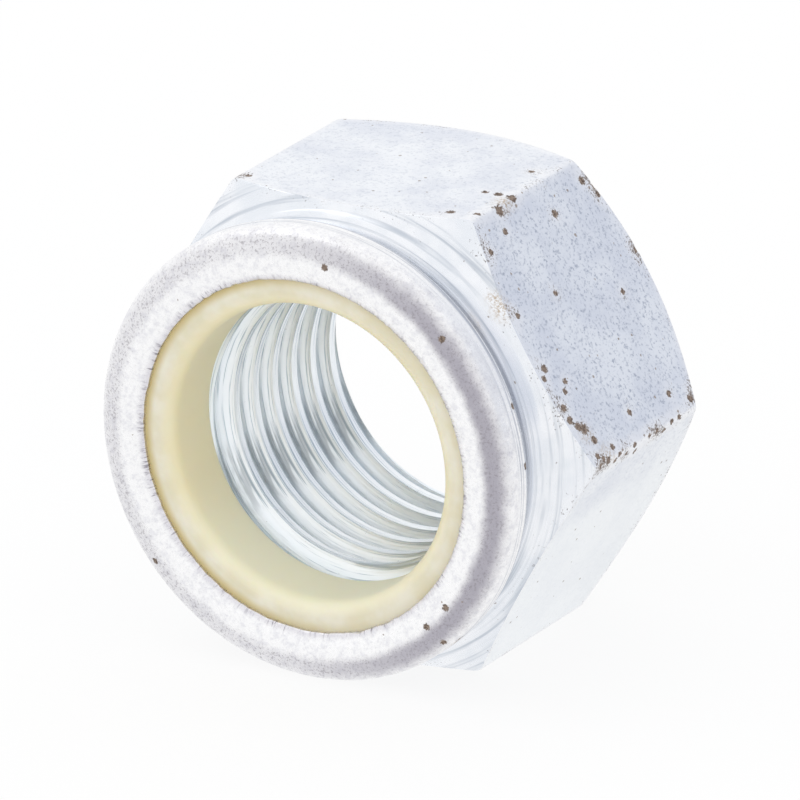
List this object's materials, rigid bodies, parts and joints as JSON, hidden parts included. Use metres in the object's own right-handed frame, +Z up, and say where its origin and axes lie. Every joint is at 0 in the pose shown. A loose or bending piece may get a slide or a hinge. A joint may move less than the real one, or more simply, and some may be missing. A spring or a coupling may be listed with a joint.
{
  "type": "nylon insert lock nut",
  "caption": "Hexagon lock nut with a rolled collar holding a nylon ring, zinc plated and chipped, lying on one flat.",
  "frame": {"origin": "centre of the box at the resting flat", "axes": "+Y along the nut's axis from the collar to the bearing face, +Z up from the resting flat"},
  "size_m": [0.0368, 0.0238, 0.032],
  "materials": {
    "zinc_plated_steel": "bright zinc plate, satin flats, chipped edges",
    "natural_nylon": "waxy ivory nylon"
  },
  "bodies": {
    "root": {"nut_body": "zinc_plated_steel", "nylon_insert": "natural_nylon"}
  },
  "joints": []
}
